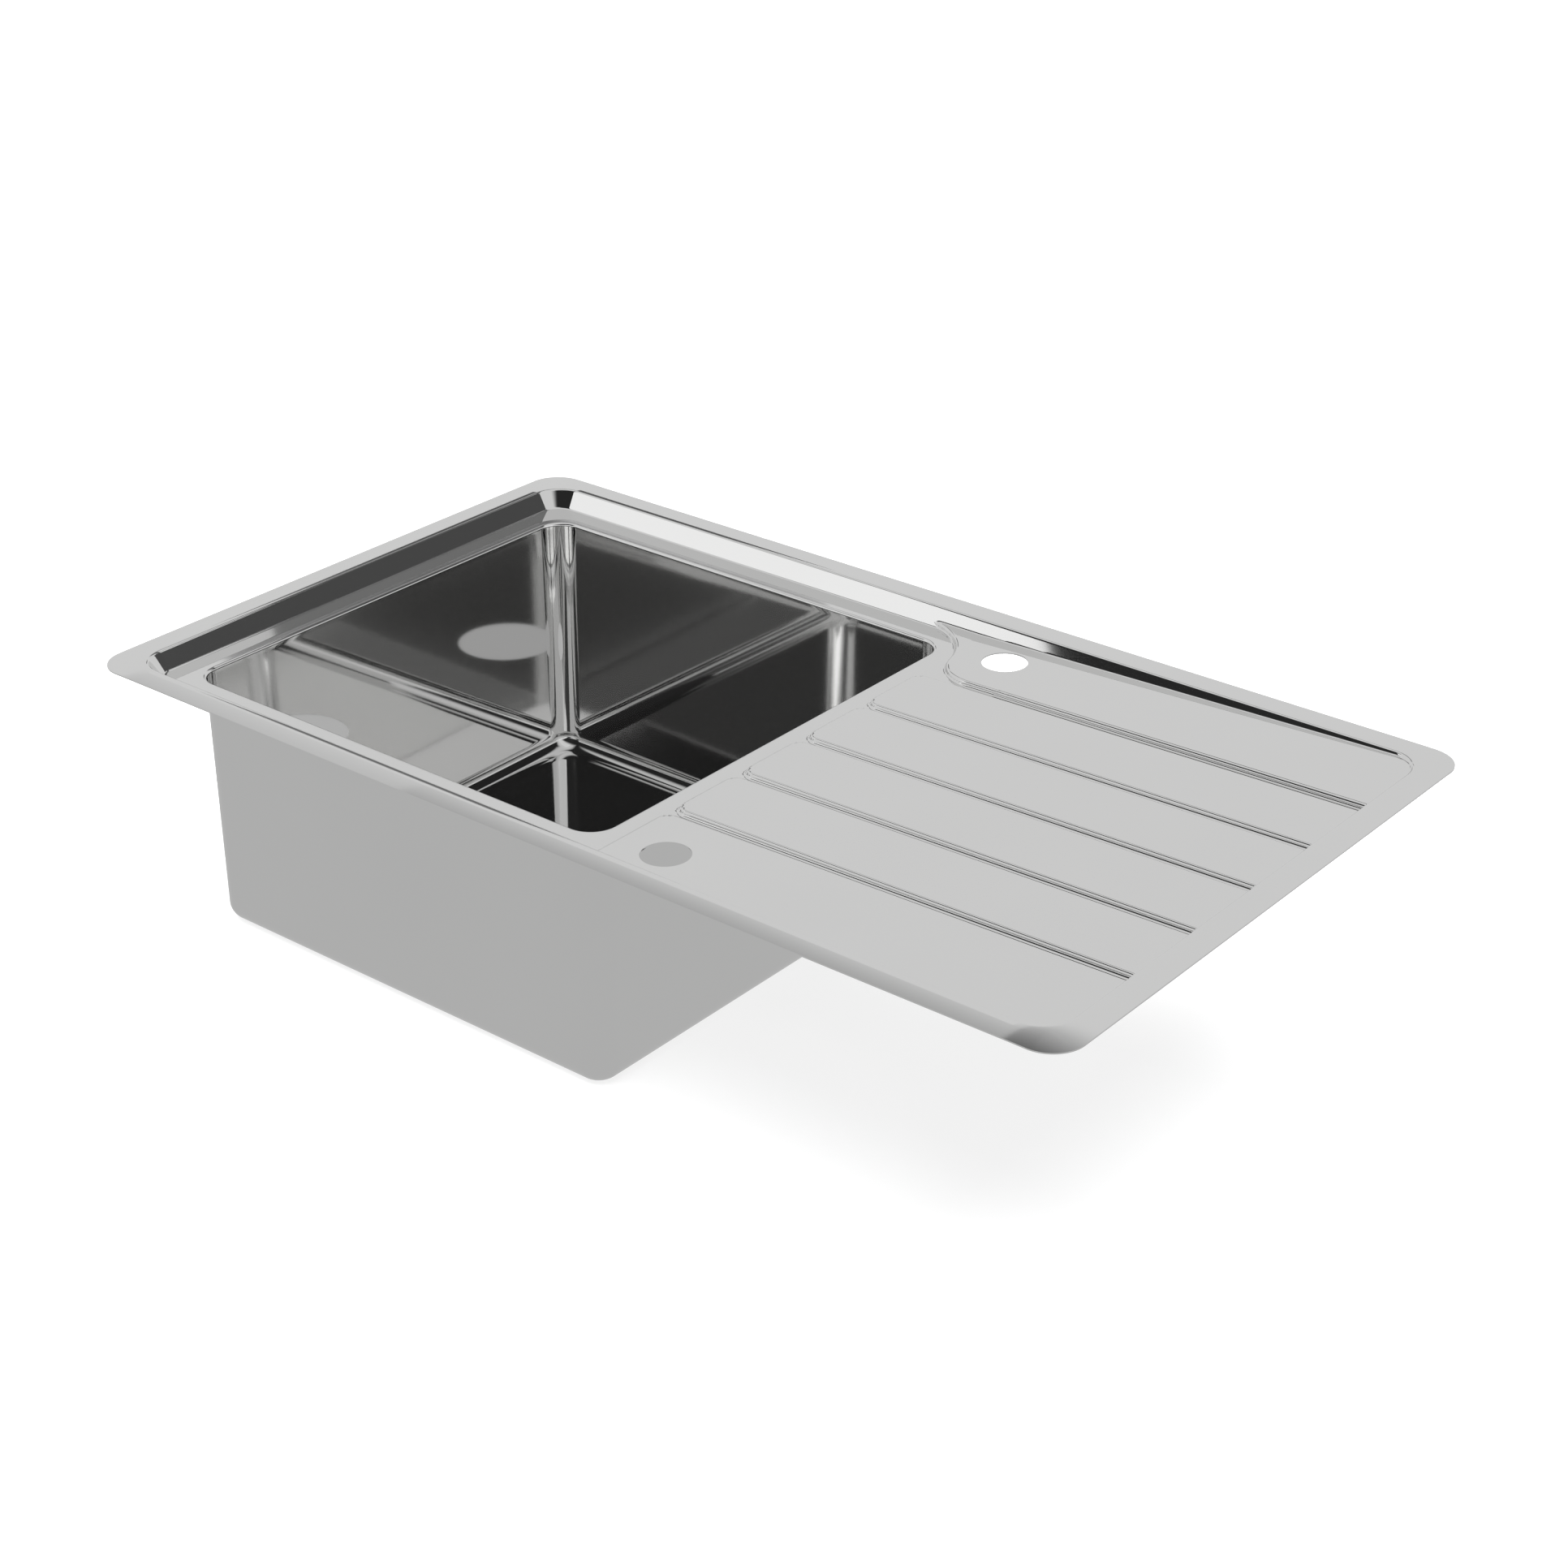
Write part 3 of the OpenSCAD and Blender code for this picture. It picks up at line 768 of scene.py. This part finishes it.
surround = 0.764
studio = {
    "surround": surround,
    "backdrop": 1.0,  # what the camera itself sees of the surround
    "floorReach": 20,
    "floorTone": 0.92,
    "floorGlow": 1.0,  # the paper's own white, beside what the lamp gives it
    "floorReflected": 0.552,  # the paper as the steel shows it
    "glowShare": 0.8,
    "lampPower": 700.0,
    "lampSize": 5.0,
    "lampPlace": (0, 0, 3.2),
    "cardHeight": 2.5,
    # each card: x from and to, y from and to, tone at its near and far side, and
    # between which shares of its depth the one tone changes to the other
    "cards": {
        "darkPanel": ((-2.07, 3.03), (-4.6, -0.4), (0.025, surround), (0.75, 1.0)),
        "darkCorner": ((1.5, 3.03), (2.3, 6.0), (0.077, 0.077), (0.0, 1.0)),
        "greyCorner": ((3.03, 3.7), (2.3, 6.0), (0.17, 0.17), (0.0, 1.0)),
        "backPanel": ((-4.32, -3.28), (3.05, 4.3), (0.26, 0.12), (0.0, 0.35)),
        "frontPanel": ((-4.4, -3.42), (-4.4, -3.55), (0.25, 0.25), (0.0, 1.0)),
        "greyLeft": ((-4.25, -3.2), (1.6, 3.0), (0.532, surround), (0.535, 0.82)),
        "greyBand": ((-3.2, -1.52), (1.6, 3.0), (0.266, surround), (0.535, 0.82)),
        "cornerBand": ((-1.52, -1.1), (1.6, 3.0), (0.04, surround), (0.57, 0.86)),
        "wallBand": ((-1.1, -0.2), (1.6, 3.0), (0.24, surround), (0.5, 0.9)),
        "darkBand": ((-0.2, 1.5), (1.6, 3.0), (0.093, surround), (0.5, 0.9)),
        "sideBox": ((3.05, 4.3), (-4.2, -2.6), (0.9, 0.9), (0.0, 1.0)),
        "softBox": ((-3.95, -2.07), (-3.4, -1.9), (1.09, 1.09), (0.0, 1.0)),
        "frontBox": ((-1.8, 1.6), (-6.3, -5.1), (2.0, 2.0), (0.0, 1.0)),
        "rightBox": ((4.4, 5.8), (-1.6, 2.4), (2.0, 2.0), (0.0, 1.0)),
    },
}


def makeWorld():
    world = bpy.data.worlds.new("surround")
    bpy.context.scene.world = world
    world.use_nodes = True
    nodes, links = world.node_tree.nodes, world.node_tree.links
    background = nodes["Background"]
    background.inputs["Color"].default_value = (1, 1, 1, 1)
    path = nodes.new("ShaderNodeLightPath")
    strength = nodes.new("ShaderNodeMix")
    strength.inputs["A"].default_value = studio["surround"]
    strength.inputs["B"].default_value = studio["backdrop"]
    links.new(path.outputs["Is Camera Ray"], strength.inputs["Factor"])
    links.new(strength.outputs["Result"], background.inputs["Strength"])


def flatSquare(name, half):
    bm = bmesh.new()
    bmesh.ops.create_grid(bm, x_segments=1, y_segments=1, size=half)
    mesh = bpy.data.meshes.new(name)
    bm.to_mesh(mesh)
    bm.free()
    square = bpy.data.objects.new(name, mesh)
    bpy.context.scene.collection.objects.link(square)
    return square


def makeFloor():
    floor = flatSquare("floor", studio["floorReach"])
    material, nodes, links, shader = newMaterial("floorPaper")
    shader.inputs["Roughness"].default_value = 1.0
    shader.inputs["Specular IOR Level"].default_value = 0.0
    shader.inputs["Base Color"].default_value = (studio["floorTone"],) * 3 + (1,)
    path = nodes.new("ShaderNodeLightPath")
    level = nodes.new("ShaderNodeMix")
    level.inputs["A"].default_value = studio["floorGlow"]
    level.inputs["B"].default_value = studio["floorReflected"]
    links.new(path.outputs["Is Glossy Ray"], level.inputs["Factor"])
    glow = nodes.new("ShaderNodeEmission")
    links.new(level.outputs["Result"], glow.inputs["Strength"])
    share = nodes.new("ShaderNodeMixShader")
    paper = nodes.new("ShaderNodeMath")
    paper.operation = "MAXIMUM"
    paper.inputs[1].default_value = studio["glowShare"]
    links.new(path.outputs["Is Glossy Ray"], paper.inputs[0])
    links.new(paper.outputs["Value"], share.inputs["Fac"])
    links.new(shader.outputs["BSDF"], share.inputs[1])
    links.new(glow.outputs["Emission"], share.inputs[2])
    links.new(share.outputs["Shader"], nodes["Material Output"].inputs["Surface"])
    floor.data.materials.append(material)


def makeCard(name, look):
    # a glowing card that only the steel's reflections show
    (x0, x1), (y0, y1), tones, edge = look
    half = 0.5
    card = flatSquare(name, half)
    card.location = ((x0 + x1) / 2, (y0 + y1) / 2, studio["cardHeight"])
    card.scale = (x1 - x0, y1 - y0, 1)
    material = bpy.data.materials.new(name + "Tone")
    material.use_nodes = True
    nodes, links = material.node_tree.nodes, material.node_tree.links
    nodes.clear()
    coords = nodes.new("ShaderNodeTexCoord")
    split = nodes.new("ShaderNodeSeparateXYZ")
    links.new(coords.outputs["Object"], split.inputs["Vector"])
    ramp = nodes.new("ShaderNodeMapRange")
    ramp.interpolation_type = "SMOOTHSTEP"
    ramp.inputs["From Min"].default_value = edge[0] - half
    ramp.inputs["From Max"].default_value = edge[1] - half
    ramp.inputs["To Min"].default_value = tones[0]
    ramp.inputs["To Max"].default_value = tones[1]
    links.new(split.outputs["Y"], ramp.inputs["Value"])
    glow = nodes.new("ShaderNodeEmission")
    links.new(ramp.outputs["Result"], glow.inputs["Strength"])
    out = nodes.new("ShaderNodeOutputMaterial")
    links.new(glow.outputs["Emission"], out.inputs["Surface"])
    card.data.materials.append(material)
    card.visible_camera = False
    card.visible_diffuse = False
    card.visible_shadow = False
    card.visible_transmission = False


def makeLamp():
    data = bpy.data.lights.new("overhead", "AREA")
    data.shape = "DISK"
    data.size = studio["lampSize"]
    data.energy = studio["lampPower"]
    lamp = bpy.data.objects.new("overhead", data)
    lamp.location = studio["lampPlace"]
    lamp.visible_glossy = False
    bpy.context.scene.collection.objects.link(lamp)


makeWorld()
makeFloor()
for name, look in studio["cards"].items():
    makeCard(name, look)
makeLamp()
bpy.context.scene.view_settings.view_transform = "Standard"
print("studio set")
